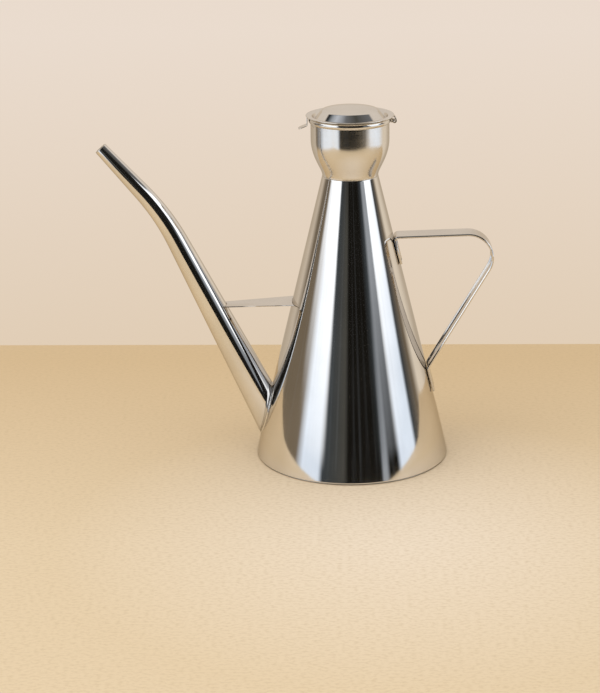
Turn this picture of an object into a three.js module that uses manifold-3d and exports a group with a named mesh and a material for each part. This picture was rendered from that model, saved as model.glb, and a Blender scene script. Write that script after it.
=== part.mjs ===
// Oil pourer of thin bright steel sheet: a cone on a flat base, a filling cup with a hinged lid,
// a tapered spout with its brace, and a strap handle.
// Millimetres, +Z up. The origin is the middle of the base, on the table. The spout points
// along -X and the handle along +X, and the whole pourer is even about the plane Y = 0.

import * as THREE from "three";
import { mergeVertices } from "three/addons/utils/BufferGeometryUtils.js";
import Module from "manifold-3d";

// Cone and base
const baseRadius = 50;
const baseThickness = 0.8;
const baseInset = 0.3;
const baseEdgeRound = 0.25;
const coneHeight = 147.2;
const neckRadius = 14.1;
const shellWall = 0.6;

// Filling cup
const throatHeight = 0.4;
const flareHeight = 18.1;
const flareLowerPull = 3;
const flareUpperPull = 9;
const cupWallHeight = 8.4;
const cupRadius = 19.7;
const hemHeight = 2.7;
const hemProud = 0.95;
const spigotLength = 6;

// Lid
const lidSheet = 0.5;
const lidOverhang = 1.1;
const rimRise = 0.3;
const channelDepth = 1.5;
const channelWidth = 0.5;
const channelStepRun = 0.9;
const domeRise = 3.75;
const domeSideHeight = 3.95;
const domeSideRun = 3.2;
const crownFlatness = 0.72;
const shoulderFullness = 0.85;
const lidCornerRound = 0.55;

// Thumb tab
const tabWidth = 6;
const tabDrop = 4.6;
const tabReach = 4.65;
const tabSlope = THREE.MathUtils.degToRad(22);
const tabTopRound = 0.45;
const tabLowerRound = 0.9;

// Hinge
const wireDiameter = 1;
const hingeDrop = 2;
const wireBend = 0.9;
const curlWidth = 4;
const curlWrap = THREE.MathUtils.degToRad(250);

// Spout
const spoutRootHeight = 24.6;
const spoutRootDiameter = 17.8;
const spoutTipDiameter = 6.6;
const spoutWall = 0.6;
const spoutLean = THREE.MathUtils.degToRad(26);
const spoutTipLean = THREE.MathUtils.degToRad(41.4);
const spoutLowerRun = 115.3;
const spoutUpperRun = 46;
const spoutBendRadius = 115;

// Spout brace
const braceHeight = 82.1;
const braceFall = 2;
const braceThickness = 0.5;
const braceSpoutWidth = 9.2;
const braceConeWidth = 16.8;

// Strap handle
const strapWidth = 12;
const strapSheet = 0.6;
const strapThickness = 1.2;
const strapFold = 1.3;
const handleTopHeight = 118.3;
const handleTopRise = 1.1;
const handleReach = 72.4;
const handleCornerRadius = 12.3;
const handleFootHeight = 47.2;
const handleTabBend = 1.5;
const handleUpperTab = 14.2;
const handleLowerTab = 13;

// Clearances
const seatClearance = 0.3;
const spigotClearance = 0.25;
const lidSeatClearance = 0.3;
const lidPlugClearance = 0.5;
const tabHemClearance = 0.4;
const curlHemClearance = 0.35;
const curlBoreClearance = 0.15;
const curlEndClearance = 0.2;

// Facets
const coneSegments = 96;
const cupSegments = 48;
const spoutSides = 36;
const wireSides = 16;
const arcStep = THREE.MathUtils.degToRad(20);
const arcSpan = 5;
const curveSteps = 6;

// Levels and radii worked out from the sizes above
const coneSlope = (baseRadius - neckRadius) / coneHeight;
const coneAngle = Math.atan(coneSlope);
const shoulderZ = baseThickness + coneHeight;
const flareStartZ = shoulderZ + throatHeight;
const flareEndZ = flareStartZ + flareHeight;
const hemBottomZ = flareEndZ + cupWallHeight;
const hemMiddleZ = hemBottomZ + hemHeight / 2;
const hemTopZ = hemBottomZ + hemHeight;
const hemRadius = cupRadius + hemProud;
const mouthRadius = cupRadius - shellWall;
const coneInnerTop = neckRadius - shellWall / Math.cos(coneAngle);
const spigotRadius = coneInnerTop - spigotClearance;
const lidRadius = hemRadius + lidOverhang;
const lidSeatZ = hemTopZ + lidSeatClearance + lidSheet;
const lidEdgeZ = lidSeatZ + rimRise;
const wireRadius = wireDiameter / 2;
const curlRadius = wireRadius + curlBoreClearance + lidSheet / 2;
const hingeX = hemRadius + curlHemClearance + curlRadius + lidSheet / 2;
const hingeZ = hemTopZ - hingeDrop;

function coneOuter(z) {
  return baseRadius - coneSlope * (z - baseThickness);
}

function vector(x, y) {
  return new THREE.Vector2(x, y);
}

// Solids: closed meshes that can be joined and cut
const wasm = await Module();
wasm.setup();

function solidFrom(geometry) {
  const bare = geometry.clone();
  bare.deleteAttribute("normal");
  bare.deleteAttribute("uv");
  const merged = mergeVertices(bare.index ? bare.toNonIndexed() : bare, 1e-4);
  const corners = merged.index.array;
  const kept = [];
  for (let i = 0; i < corners.length; i += 3) {
    const [a, b, c] = [corners[i], corners[i + 1], corners[i + 2]];
    if (a !== b && b !== c && c !== a) {
      kept.push(a, b, c);
    }
  }
  const mesh = new wasm.Mesh({
    numProp: 3,
    vertProperties: new Float32Array(merged.attributes.position.array),
    triVerts: new Uint32Array(kept),
  });
  return new wasm.Manifold(mesh);
}

function geometryFrom(solid) {
  const mesh = solid.getMesh();
  const geometry = new THREE.BufferGeometry();
  const places = new Float32Array(mesh.numVert * 3);
  for (let i = 0; i < mesh.numVert; i += 1) {
    for (let k = 0; k < 3; k += 1) {
      places[3 * i + k] = mesh.vertProperties[mesh.numProp * i + k];
    }
  }
  geometry.setAttribute("position", new THREE.BufferAttribute(places, 3));
  geometry.setIndex(new THREE.BufferAttribute(new Uint32Array(mesh.triVerts), 1));
  return geometry;
}

// A profile of radius and height, turned about Z. It runs up the outside and down the inside.
function turned(profile, segments) {
  return new THREE.LatheGeometry(profile, segments).rotateX(Math.PI / 2);
}

// A path of straight runs whose inner corners are rounded
function roundedPath(corners, radii) {
  const path = new THREE.Path();
  path.moveTo(corners[0].x, corners[0].y);
  for (let i = 1; i < corners.length - 1; i += 1) {
    const before = corners[i].clone().sub(corners[i - 1]).normalize();
    const after = corners[i + 1].clone().sub(corners[i]).normalize();
    const turn = Math.atan2(before.cross(after), before.dot(after));
    const radius = radii[i - 1];
    const start = corners[i].clone().addScaledVector(before, -radius * Math.tan(Math.abs(turn) / 2));
    const inward = vector(-before.y, before.x).multiplyScalar(Math.sign(turn));
    const centre = start.clone().addScaledVector(inward, radius);
    const angle = Math.atan2(start.y - centre.y, start.x - centre.x);
    path.lineTo(start.x, start.y);
    path.absarc(centre.x, centre.y, radius, angle, angle + turn, turn < 0);
  }
  const end = corners[corners.length - 1];
  path.lineTo(end.x, end.y);
  return path;
}

// Places along a path with their headings, close together only where it curves
function stationsAlong(path) {
  const stations = [];
  for (const curve of path.curves) {
    let steps = curveSteps;
    if (curve.isLineCurve) {
      steps = 1;
    } else if (curve.isEllipseCurve) {
      const length = curve.getLength();
      steps = Math.ceil(Math.max(length / curve.xRadius / arcStep, length / arcSpan));
    }
    for (let k = 0; k <= steps; k += 1) {
      const place = curve.getPoint(k / steps);
      const last = stations[stations.length - 1];
      if (!last || last.place.distanceTo(place) > 1e-3) {
        stations.push({ place, heading: curve.getTangent(k / steps).normalize() });
      }
    }
  }
  return stations;
}

// A flat strip that follows a path in the XZ plane, with its width along Y and its two faces this
// far to the left of the path
function strip(path, leftFace, rightFace, width) {
  const left = [];
  const right = [];
  for (const { place, heading } of stationsAlong(path)) {
    const across = vector(-heading.y, heading.x);
    left.push(place.clone().addScaledVector(across, leftFace));
    right.push(place.clone().addScaledVector(across, rightFace));
  }
  const outline = new THREE.Shape([...right, ...left.reverse()]);
  const geometry = new THREE.ExtrudeGeometry(outline, { depth: width, bevelEnabled: false });
  return geometry.rotateX(Math.PI / 2).translate(0, width / 2, 0);
}

// A closed round rod through rings given by centre, radius and the two directions of their plane
function roundLoft(rings, sides) {
  const places = [];
  const faces = [];
  for (const { centre, radius, across, along } of rings) {
    for (let j = 0; j < sides; j += 1) {
      const angle = (2 * Math.PI * j) / sides;
      const point = centre.clone();
      point.addScaledVector(across, radius * Math.cos(angle));
      point.addScaledVector(along, radius * Math.sin(angle));
      places.push(point.x, point.y, point.z);
    }
  }
  for (let i = 0; i < rings.length - 1; i += 1) {
    for (let j = 0; j < sides; j += 1) {
      const a = i * sides + j;
      const b = i * sides + ((j + 1) % sides);
      faces.push(a, b, b + sides, a, b + sides, a + sides);
    }
  }
  const top = (rings.length - 1) * sides;
  for (let j = 1; j < sides - 1; j += 1) {
    faces.push(0, j + 1, j, top, top + j, top + j + 1);
  }
  const geometry = new THREE.BufferGeometry();
  geometry.setAttribute("position", new THREE.Float32BufferAttribute(places, 3));
  geometry.setIndex(faces);
  return geometry;
}

// Base: a flat sheet, drawn in a little under the cone's lower edge
function baseDisc() {
  const radius = baseRadius - baseInset;
  const profile = [
    vector(0, 0),
    vector(radius - baseEdgeRound, 0),
    vector(radius, baseEdgeRound),
    vector(radius, baseThickness),
    vector(0, baseThickness),
  ];
  return turned(profile, coneSegments);
}

// Cone: a thin shell open at both ends, with the hole that feeds the spout
function coneShell() {
  const wallRun = shellWall / Math.cos(coneAngle);
  const profile = [
    vector(baseRadius - wallRun, baseThickness),
    vector(baseRadius, baseThickness),
    vector(neckRadius, shoulderZ),
    vector(neckRadius - wallRun, shoulderZ),
    vector(baseRadius - wallRun, baseThickness),
  ];
  return solidFrom(turned(profile, coneSegments)).subtract(spoutBore());
}

// The full cone with its skin moved out, for cutting what is fitted to it
function coneCutter(clearance) {
  const grow = clearance / Math.cos(coneAngle);
  const lowZ = -baseRadius;
  const profile = [
    vector(0, lowZ),
    vector(coneOuter(lowZ) + grow, lowZ),
    vector(coneOuter(shoulderZ) + grow, shoulderZ),
    vector(0, shoulderZ),
  ];
  return solidFrom(turned(profile, coneSegments));
}

// Filling cup: spigot, throat, flare, straight wall and a rolled hem round the mouth
function neckCup() {
  const throatInner = neckRadius - shellWall;
  const spigotInner = spigotRadius - shellWall;
  const path = new THREE.Path();
  path.moveTo(spigotInner, shoulderZ - spigotLength);
  path.lineTo(spigotRadius, shoulderZ - spigotLength);
  path.lineTo(spigotRadius, shoulderZ);
  path.lineTo(neckRadius, shoulderZ);
  path.lineTo(neckRadius, flareStartZ);
  path.bezierCurveTo(
    neckRadius, flareStartZ + flareLowerPull,
    cupRadius, flareEndZ - flareUpperPull,
    cupRadius, flareEndZ,
  );
  path.lineTo(cupRadius, hemBottomZ);
  path.absellipse(cupRadius, hemMiddleZ, hemProud, hemHeight / 2, -Math.PI / 2, Math.PI / 2, false);
  path.absarc(cupRadius, hemTopZ - shellWall, shellWall, Math.PI / 2, Math.PI, false);
  path.lineTo(mouthRadius, flareEndZ);
  path.bezierCurveTo(
    mouthRadius, flareEndZ - flareUpperPull,
    throatInner, flareStartZ + flareLowerPull,
    throatInner, flareStartZ,
  );
  path.lineTo(throatInner, shoulderZ + shellWall);
  path.lineTo(spigotInner, shoulderZ);
  path.lineTo(spigotInner, shoulderZ - spigotLength);
  return turned(stationsAlong(path).map((station) => station.place), cupSegments);
}

// The lid's upper surface from the crown's middle to the rim
function lidSurface() {
  const channelZ = lidSeatZ - channelDepth;
  const wallFoot = mouthRadius - lidPlugClearance - lidSheet;
  const domeRadius = wallFoot - channelWidth;
  const sideTop = vector(domeRadius - domeSideRun, channelZ + domeSideHeight);
  const domeTopZ = lidSeatZ + domeRise;
  const shoulderLift = (domeTopZ - sideTop.y) * shoulderFullness;
  const shoulderPull = (shoulderLift * domeSideRun) / domeSideHeight;
  const seatCorner = vector(wallFoot + channelStepRun, lidSeatZ);
  const rimLean = Math.atan2(rimRise, lidRadius - seatCorner.x);
  const wallLean = Math.atan2(channelDepth, channelStepRun);
  const path = new THREE.Path();
  path.moveTo(0, domeTopZ);
  path.bezierCurveTo(
    sideTop.x * crownFlatness, domeTopZ,
    sideTop.x - shoulderPull, sideTop.y + shoulderLift,
    sideTop.x, sideTop.y,
  );
  const sideLean = Math.atan2(domeSideHeight, domeSideRun);
  path.lineTo(
    domeRadius - lidCornerRound * Math.cos(sideLean),
    channelZ + lidCornerRound * Math.sin(sideLean),
  );
  path.bezierCurveTo(
    domeRadius, channelZ,
    wallFoot, channelZ,
    wallFoot + lidCornerRound * Math.cos(wallLean), channelZ + lidCornerRound * Math.sin(wallLean),
  );
  path.lineTo(
    seatCorner.x - lidCornerRound * Math.cos(wallLean),
    seatCorner.y - lidCornerRound * Math.sin(wallLean),
  );
  path.quadraticCurveTo(
    seatCorner.x, seatCorner.y,
    seatCorner.x + lidCornerRound * Math.cos(rimLean),
    seatCorner.y + lidCornerRound * Math.sin(rimLean),
  );
  path.lineTo(lidRadius, lidEdgeZ);
  return path;
}

// Lid: one pressed sheet, with the hinge curl at the back and the thumb tab at the front
function lid() {
  const upper = [];
  const under = [];
  for (const { place, heading } of stationsAlong(lidSurface())) {
    upper.push(place);
    under.push(place.clone().add(vector(heading.y, -heading.x).multiplyScalar(lidSheet)));
  }
  under[0].set(0, upper[0].y - lidSheet);
  under[under.length - 1].x = lidRadius;
  const pressing = solidFrom(turned([...under, ...upper.reverse()], cupSegments));
  return pressing.add(solidFrom(hingeCurl())).add(solidFrom(thumbTab()));
}

// A strip of the lid's own sheet starts this deep inside the rim, at mid-sheet
function rimRoot(depth) {
  const fall = (rimRise * depth) / (lidOverhang + hemProud);
  return vector(lidRadius - depth, lidEdgeZ - lidSheet / 2 - fall);
}

// From the rim out over the wire, then round it
function hingeCurl() {
  const root = rimRoot(lidOverhang);
  const edge = rimRoot(0);
  const path = new THREE.Path();
  path.moveTo(root.x, root.y);
  path.bezierCurveTo(
    edge.x + lidOverhang / 2, edge.y,
    hingeX + curlRadius, hingeZ + curlRadius,
    hingeX + curlRadius, hingeZ,
  );
  path.absarc(hingeX, hingeZ, curlRadius, 0, -curlWrap, true);
  return strip(path, lidSheet / 2, -lidSheet / 2, curlWidth);
}

// Down outside the hem, then outwards for the thumb
function thumbTab() {
  const root = rimRoot(lidOverhang);
  const tabRadius = hemRadius + tabHemClearance + lidSheet / 2;
  const bend = vector(tabRadius, root.y - tabDrop);
  const corners = [
    root,
    vector(tabRadius, rimRoot(0).y),
    bend,
    vector(bend.x + tabReach * Math.cos(tabSlope), bend.y - tabReach * Math.sin(tabSlope)),
  ];
  const path = roundedPath(corners, [tabTopRound, tabLowerRound]);
  return strip(path, lidSheet / 2, -lidSheet / 2, tabWidth).rotateZ(Math.PI);
}

// Hinge staple: a wire with both ends bent in to the hem, the pin that the curl turns on
function hingeStaple() {
  const legY = curlWidth / 2 + curlEndClearance + wireBend;
  const legX = Math.sqrt(hemRadius ** 2 - (legY - wireRadius) ** 2) + seatClearance;
  const corners = [
    vector(legX, -legY),
    vector(hingeX, -legY),
    vector(hingeX, legY),
    vector(legX, legY),
  ];
  const rings = stationsAlong(roundedPath(corners, [wireBend, wireBend])).map(({ place, heading }) => ({
    centre: new THREE.Vector3(place.x, place.y, hingeZ),
    radius: wireRadius,
    across: new THREE.Vector3(-heading.y, heading.x, 0),
    along: new THREE.Vector3(0, 0, 1),
  }));
  return roundLoft(rings, wireSides);
}

// Spout: its axis in the XZ plane, from inside the cone to the tip
function spoutAxis() {
  const root = vector(-coneOuter(spoutRootHeight), spoutRootHeight);
  const lower = vector(-Math.sin(spoutLean), Math.cos(spoutLean));
  const upper = vector(-Math.sin(spoutTipLean), Math.cos(spoutTipLean));
  const sunk = spoutRootDiameter / Math.tan(spoutLean + coneAngle);
  const bend = root.clone().addScaledVector(lower, spoutLowerRun);
  return { root, lower, upper, sunk, bend };
}

// A rod of the spout's taper with its skin moved in by inset, longer than the spout by overrun
function spoutRod(inset, overrun) {
  const { root, lower, upper, sunk, bend } = spoutAxis();
  const start = root.clone().addScaledVector(lower, -sunk);
  const end = bend.clone().addScaledVector(upper, spoutUpperRun + overrun);
  const path = roundedPath([start, bend, end], [spoutBendRadius]);
  const length = path.getLength() - sunk - overrun;
  let travelled = -sunk;
  let last = start;
  const rings = stationsAlong(path).map(({ place, heading }) => {
    travelled += place.distanceTo(last);
    last = place;
    const share = Math.min(travelled / length, 1);
    const diameter = THREE.MathUtils.lerp(spoutRootDiameter, spoutTipDiameter, share);
    return {
      centre: new THREE.Vector3(place.x, 0, place.y),
      radius: diameter / 2 - inset,
      across: new THREE.Vector3(-heading.y, 0, heading.x),
      along: new THREE.Vector3(0, -1, 0),
    };
  });
  return solidFrom(roundLoft(rings, spoutSides));
}

function spoutBore() {
  return spoutRod(spoutWall, spoutWall);
}

function spout() {
  return spoutRod(0, 0).subtract(spoutBore()).subtract(coneCutter(seatClearance));
}

// Spout brace: a wedge-shaped plate whose ends are cut to the tube and to the cone
function spoutBrace() {
  const { root } = spoutAxis();
  const coneEnd = vector(-coneOuter(braceHeight), braceHeight);
  const spoutZ = braceHeight - braceFall;
  const spoutEnd = vector(root.x - (spoutZ - root.y) * Math.tan(spoutLean), spoutZ);
  const span = coneEnd.distanceTo(spoutEnd);
  const tubeRadius = spoutRootDiameter / 2;
  const widen = (braceConeWidth - braceSpoutWidth) / (span - tubeRadius);
  const farWidth = braceConeWidth + widen * tubeRadius;
  const nearWidth = braceConeWidth - widen * span;
  const outline = new THREE.Shape([
    vector(0, -nearWidth / 2),
    vector(span + tubeRadius, -farWidth / 2),
    vector(span + tubeRadius, farWidth / 2),
    vector(0, nearWidth / 2),
  ]);
  const plate = new THREE.ExtrudeGeometry(outline, { depth: braceThickness, bevelEnabled: false })
    .translate(0, 0, -braceThickness / 2)
    .rotateY(-Math.atan2(coneEnd.y - spoutEnd.y, coneEnd.x - spoutEnd.x))
    .translate(spoutEnd.x, 0, spoutEnd.y);
  return solidFrom(plate).subtract(spoutRod(-seatClearance, 0)).subtract(coneCutter(seatClearance));
}

// The heading from a place to where it just touches a circle, left of its centre (1) or right (-1)
function touching(place, centre, radius, side) {
  const toCentre = centre.clone().sub(place);
  const angle = toCentre.angle() + side * Math.asin(radius / toCentre.length());
  return vector(Math.cos(angle), Math.sin(angle));
}

// The handle's path: a nearly level run, a wide round corner and a slanting run, with a tab on the
// cone at each end, longer than the strap by overrun
function handlePath(overrun) {
  const offset = (seatClearance + strapThickness / 2) / Math.cos(coneAngle);
  const onCone = (z) => vector(coneOuter(z) + offset, z);
  const topZ = handleTopHeight - strapThickness / 2;
  const centre = vector(handleReach - strapThickness / 2 - handleCornerRadius, topZ - handleCornerRadius);
  const head = onCone(topZ - handleTopRise);
  const foot = onCone(handleFootHeight);
  const topRun = touching(head, centre, handleCornerRadius, 1);
  const slantRun = touching(foot, centre, handleCornerRadius, -1);
  const reach = foot.clone().sub(head).cross(slantRun) / topRun.cross(slantRun);
  const corners = [
    onCone(head.y - (handleUpperTab + overrun) * Math.cos(coneAngle)),
    head,
    head.clone().addScaledVector(topRun, reach),
    foot,
    onCone(foot.y - (handleLowerTab + overrun) * Math.cos(coneAngle)),
  ];
  return roundedPath(corners, [handleTabBend, handleCornerRadius, handleTabBend]);
}

// Strap handle: a flat strap with both its edges folded in towards the grip
function handleStrap() {
  const face = strapThickness / 2;
  const folds = strip(handlePath(0), face, -face, strapWidth);
  const hollowWidth = strapWidth - 2 * strapFold;
  const hollow = strip(handlePath(strapFold), face - strapSheet, -strapThickness, hollowWidth);
  return solidFrom(folds).subtract(solidFrom(hollow));
}

// Bright steel, a little less polished on the cup and the wire
function piece(name, shape, color, roughness) {
  const geometry = shape.isBufferGeometry ? shape : geometryFrom(shape);
  const material = new THREE.MeshStandardMaterial({ color, roughness, metalness: 1 });
  const mesh = new THREE.Mesh(geometry, material);
  mesh.name = name;
  return mesh;
}

const pourer = new THREE.Group();
pourer.add(
  piece("base_disc", baseDisc(), 0xbdbab4, 0.2),
  piece("cone_body", coneShell(), 0xd8d6d2, 0.06),
  piece("neck_cup", neckCup(), 0xd2cec7, 0.14),
  piece("hinge_staple", hingeStaple(), 0xc4c1bb, 0.22),
  piece("spout", spout(), 0xd5d1cb, 0.08),
  piece("spout_brace", spoutBrace(), 0xcfc8bd, 0.18),
  piece("handle_strap", handleStrap(), 0xd3ccc2, 0.15),
);

// The lid hangs on the staple's axis
const lidPivot = new THREE.Group();
lidPivot.position.set(hingeX, 0, hingeZ);
lidPivot.add(piece("lid", geometryFrom(lid()).translate(-hingeX, 0, -hingeZ), 0xd6d0c8, 0.1));
pourer.add(lidPivot);

export default pourer;
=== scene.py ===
"""Oil pourer of polished steel sheet: a cone on a flat base, a filling cup with a hinged lid,
a tapered spout with its brace, and a strap handle, on a table in soft studio light.

Metres, +Z up. The origin is the middle of the base, on the table. The spout points along -X and
the handle along +X, and both sides of the plane Y = 0 are alike."""

import math

import bmesh
import bpy
from bpy.props import FloatProperty, FloatVectorProperty, PointerProperty
from mathutils import Matrix, Vector
from mathutils.geometry import interpolate_bezier


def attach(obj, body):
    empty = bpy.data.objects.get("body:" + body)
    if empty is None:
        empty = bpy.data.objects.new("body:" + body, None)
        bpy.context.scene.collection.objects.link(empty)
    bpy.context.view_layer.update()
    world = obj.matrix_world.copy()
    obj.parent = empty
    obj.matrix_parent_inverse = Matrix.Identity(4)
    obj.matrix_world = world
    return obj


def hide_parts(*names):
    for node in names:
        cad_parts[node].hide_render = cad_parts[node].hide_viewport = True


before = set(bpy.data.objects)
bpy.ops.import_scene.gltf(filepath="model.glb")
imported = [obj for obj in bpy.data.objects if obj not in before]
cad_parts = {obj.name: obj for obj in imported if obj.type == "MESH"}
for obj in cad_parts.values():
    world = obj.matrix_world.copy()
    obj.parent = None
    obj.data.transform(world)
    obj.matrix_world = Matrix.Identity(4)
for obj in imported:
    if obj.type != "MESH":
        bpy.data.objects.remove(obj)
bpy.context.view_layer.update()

bl_info = {
    "name": "Oil Pourer",
    "version": (1, 0, 0),
    "blender": (4, 5, 0),
    "location": "View3D > Sidebar > Oil Pourer",
    "description": "Builds a conical steel oil pourer with a hinged lid, piece by piece",
    "category": "Add Mesh",
}

MM = 0.001
VESSEL = "vessel"
COVER = "cover"

# How finely the shapes are divided
TURN_STEPS = 192
FOOT_STEPS = 8
SIDE_STEPS = 12
HEM_STEPS = 24
LIP_STEPS = 6
EDGE_STEPS = 6
TAB_STEPS = 8
SPOUT_SIDES = 72
ROOT_STEPS = 8
WELD_STEPS = 6
BRACE_STEPS = 16
WIRE_SIDES = 24
CURVE_POINTS = 24
BEVEL_STEPS = 3
HALVINGS = 40
ARC_STEP = math.radians(7.5)
BEND_STEP = math.radians(1.5)

# Straight ends beside a bend, and distances that count as touching and as one place
EASE = 0.15 * MM
TOUCH = 0.01 * MM
MERGE = 0.001 * MM


def number(name, default, description, **options):
    """A number that a user may change"""
    return FloatProperty(name=name, default=default, description=description, **options)


def length(name, millimetres, description):
    """A size that a user may change, written in millimetres"""
    return number(
        name, millimetres * MM, description, min=0.0, precision=5, unit="LENGTH", subtype="DISTANCE"
    )


def angle(name, degrees, description):
    """An angle that a user may change, written in degrees"""
    return number(name, math.radians(degrees), description, unit="ROTATION", subtype="ANGLE")


def share(name, default, description):
    """A number from nought to one"""
    return number(name, default, description, min=0.0, max=1.0, subtype="FACTOR")


def colour(name, default, description):
    """A colour as linear light"""
    return FloatVectorProperty(
        name=name, default=default, description=description, size=3, min=0.0, subtype="COLOR"
    )


class VesselSizes(bpy.types.PropertyGroup):
    """Sizes of the cone, its base and the filling cup"""

    base_radius: length("Base radius", 50, "Outer radius of the cone at its lower edge")
    base_thickness: length("Base thickness", 0.8, "Thickness of the bottom sheet")
    base_inset: length("Base inset", 1, "How far the bottom sheet lies inside the cone's edge")
    cone_height: length("Cone height", 147.2, "Height of the cone above the bottom sheet")
    neck_radius: length("Neck radius", 14.1, "Outer radius where the cone meets the cup")
    sheet: length("Sheet", 0.6, "Thickness of the cone and the cup")
    foot_height: length("Foot height", 18, "Height over which the cone's foot is drawn in")
    foot_draw: length("Foot draw", 0.34, "How far the foot is drawn in at the edge")
    edge_round: length("Edge round", 0.22, "Rounding of the cone's two edges")
    throat_height: length("Throat height", 0.4, "Straight part of the cup above the cone")
    flare_height: length("Flare height", 18.1, "Height over which the cup widens")
    flare_lower_pull: length("Lower pull", 3, "How long the flare stays upright at its foot")
    flare_upper_pull: length("Upper pull", 9, "How long the flare stays upright at its top")
    cup_wall_height: length("Cup wall height", 8.4, "Straight wall under the hem")
    cup_radius: length("Cup radius", 19.7, "Outer radius of the cup's wall")
    hem_height: length("Hem height", 2.7, "Height of the rolled rim")
    hem_proud: length("Hem proud", 0.95, "How far the rolled rim stands out")
    spigot_length: length("Spigot length", 6, "Part of the cup inside the cone")
    spigot_gap: length("Spigot gap", 0.25, "Clearance of the spigot in the cone")


class LidSizes(bpy.types.PropertyGroup):
    """Sizes of the lid, its thumb tab and its hinge"""

    sheet: length("Sheet", 0.5, "Thickness of the lid")
    seat_gap: length("Seat gap", 0.3, "Clearance above the hem")
    plug_gap: length("Plug gap", 0.5, "Clearance of the channel inside the mouth")
    overhang: length("Overhang", 1.1, "How far the rim reaches past the hem")
    rim_rise: length("Rim rise", 0.3, "How far the rim lifts towards its edge")
    channel_depth: length("Channel depth", 1.5, "Depth of the channel inside the rim")
    channel_width: length("Channel width", 0.5, "Flat width of the channel")
    channel_step: length("Channel step", 0.9, "Run of the slope from rim to channel")
    dome_rise: length("Dome rise", 3.75, "Height of the crown above the rim's seat")
    dome_side_height: length("Side height", 3.95, "Height of the crown's straight side")
    dome_side_run: length("Side run", 3.2, "Run of the crown's straight side")
    crown_flatness: share("Crown flatness", 0.72, "How far the crown stays flat")
    shoulder_fullness: share("Shoulder fullness", 0.85, "How full the crown's shoulder is")
    corner_round: length("Corner round", 0.55, "Rounding of the channel's corners")
    tab_width: length("Tab width", 6, "Width of the thumb tab")
    tab_drop: length("Tab drop", 4.6, "How far the tab hangs down")
    tab_reach: length("Tab reach", 4.65, "How far the tab reaches out")
    tab_slope: angle("Tab slope", 22, "Fall of the tab's outer part")
    tab_gap: length("Tab gap", 0.4, "Clearance of the tab outside the hem")
    tab_top_round: length("Tab top bend", 0.45, "Radius of the tab's upper bend")
    tab_lower_round: length("Tab lower bend", 0.9, "Radius of the tab's lower bend")
    tab_corner: length("Tab corner", 1.5, "Radius of the corners at the tab's end")
    tab_edge: share("Tab edge", 0.4, "Rounding of the tab's sides as a part of the sheet")
    tongue: share("Tongue", 0.92, "Thickness of the tab and the curl as a part of the sheet")
    tongue_edge: share("Tongue edge", 0.2, "Rounding of their ends as a part of the sheet")
    wire: length("Wire", 1, "Diameter of the hinge wire")
    hinge_drop: length("Hinge drop", 2, "Height of the hinge below the hem's top")
    wire_bend: length("Wire bend", 0.9, "Radius of the wire's two bends")
    wire_end: share("Wire end", 1 / 12, "Rounding of the wire's ends as a part of its diameter")
    curl_width: length("Curl width", 4, "Width of the curl round the wire")
    curl_wrap: angle("Curl wrap", 250, "How far the curl goes round the wire")
    curl_gap: length("Curl gap", 0.35, "Clearance between curl and hem")
    curl_bore_gap: length("Curl bore gap", 0.15, "Clearance between curl and wire")
    curl_end_gap: length("Curl end gap", 0.2, "Clearance at the curl's two ends")


class SpoutSizes(bpy.types.PropertyGroup):
    """Sizes of the spout and its brace"""

    root_height: length("Root height", 24.6, "Where the spout's axis meets the cone")
    root_diameter: length("Root diameter", 17.8, "Outer diameter at the cone")
    tip_diameter: length("Tip diameter", 6.6, "Outer diameter at the tip")
    wall: length("Wall", 0.6, "Thickness of the tube")
    lean: angle("Lean", 26, "Lean of the lower part")
    tip_lean: angle("Tip lean", 41.4, "Lean of the upper part")
    lower_run: length("Lower run", 115.3, "From the cone to the bend")
    upper_run: length("Upper run", 46, "From the bend to the tip")
    bend_radius: length("Bend radius", 115, "Radius of the bend")
    lip_round: length("Lip round", 0.22, "Rounding of the tip's edge")
    weld: length("Weld", 0.7, "Leg of the smooth weld at the root")
    brace_height: length("Brace height", 82.1, "Where the brace meets the cone")
    brace_fall: length("Brace fall", 2, "How much lower its spout end is")
    brace_thickness: length("Brace thickness", 0.5, "Thickness of the plate")
    brace_spout_width: length("Brace spout width", 9.2, "Width at the spout")
    brace_cone_width: length("Brace cone width", 16.8, "Width at the cone")
    brace_round: length("Brace round", 0.1, "Rounding of the plate's edges")
    seat: length("Seat", 0.1, "Gap between welded pieces")


class HandleSizes(bpy.types.PropertyGroup):
    """Sizes of the strap handle"""

    width: length("Width", 12, "Width of the strap")
    sheet: length("Sheet", 0.6, "Thickness of the strap between its folded edges")
    thickness: length("Thickness", 1.2, "Thickness of the folded edges")
    fold: length("Fold", 1.3, "Width of the folded edges")
    fold_draw: length("Fold draw", 0.35, "How far the folded edges narrow towards their faces")
    fold_lean: length("Fold lean", 0.27, "How far the inner sides of the folded edges lean")
    edge_round: length("Edge round", 0.3, "Rounding beside the faces of the folded edges")
    front_round: length("Front round", 0.2, "Rounding at the front of the folded edges")
    fold_round: length("Fold round", 0.1, "Rounding inside the folds and at the strap's ends")
    seat: length("Seat", 0.05, "Gap between the tabs and the cone")
    top_height: length("Top height", 118.3, "Highest point of the handle")
    top_rise: length("Top rise", 1.1, "Rise of the upper run from the cone to the corner")
    reach: length("Reach", 72.35, "Farthest point from the cone's axis")
    corner_radius: length("Corner radius", 12.3, "Radius of the outer corner")
    foot_height: length("Foot height", 47.2, "Where the slanting run meets the cone")
    tab_bend: length("Tab bend", 1.5, "Radius of the two bends at the cone")
    upper_tab: length("Upper tab", 14.2, "Length of the upper tab on the cone")
    lower_tab: length("Lower tab", 13, "Length of the lower tab on the cone")
    tab_press: share("Tab press", 0.5, "How far the upper tab follows the cone's round")


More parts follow.
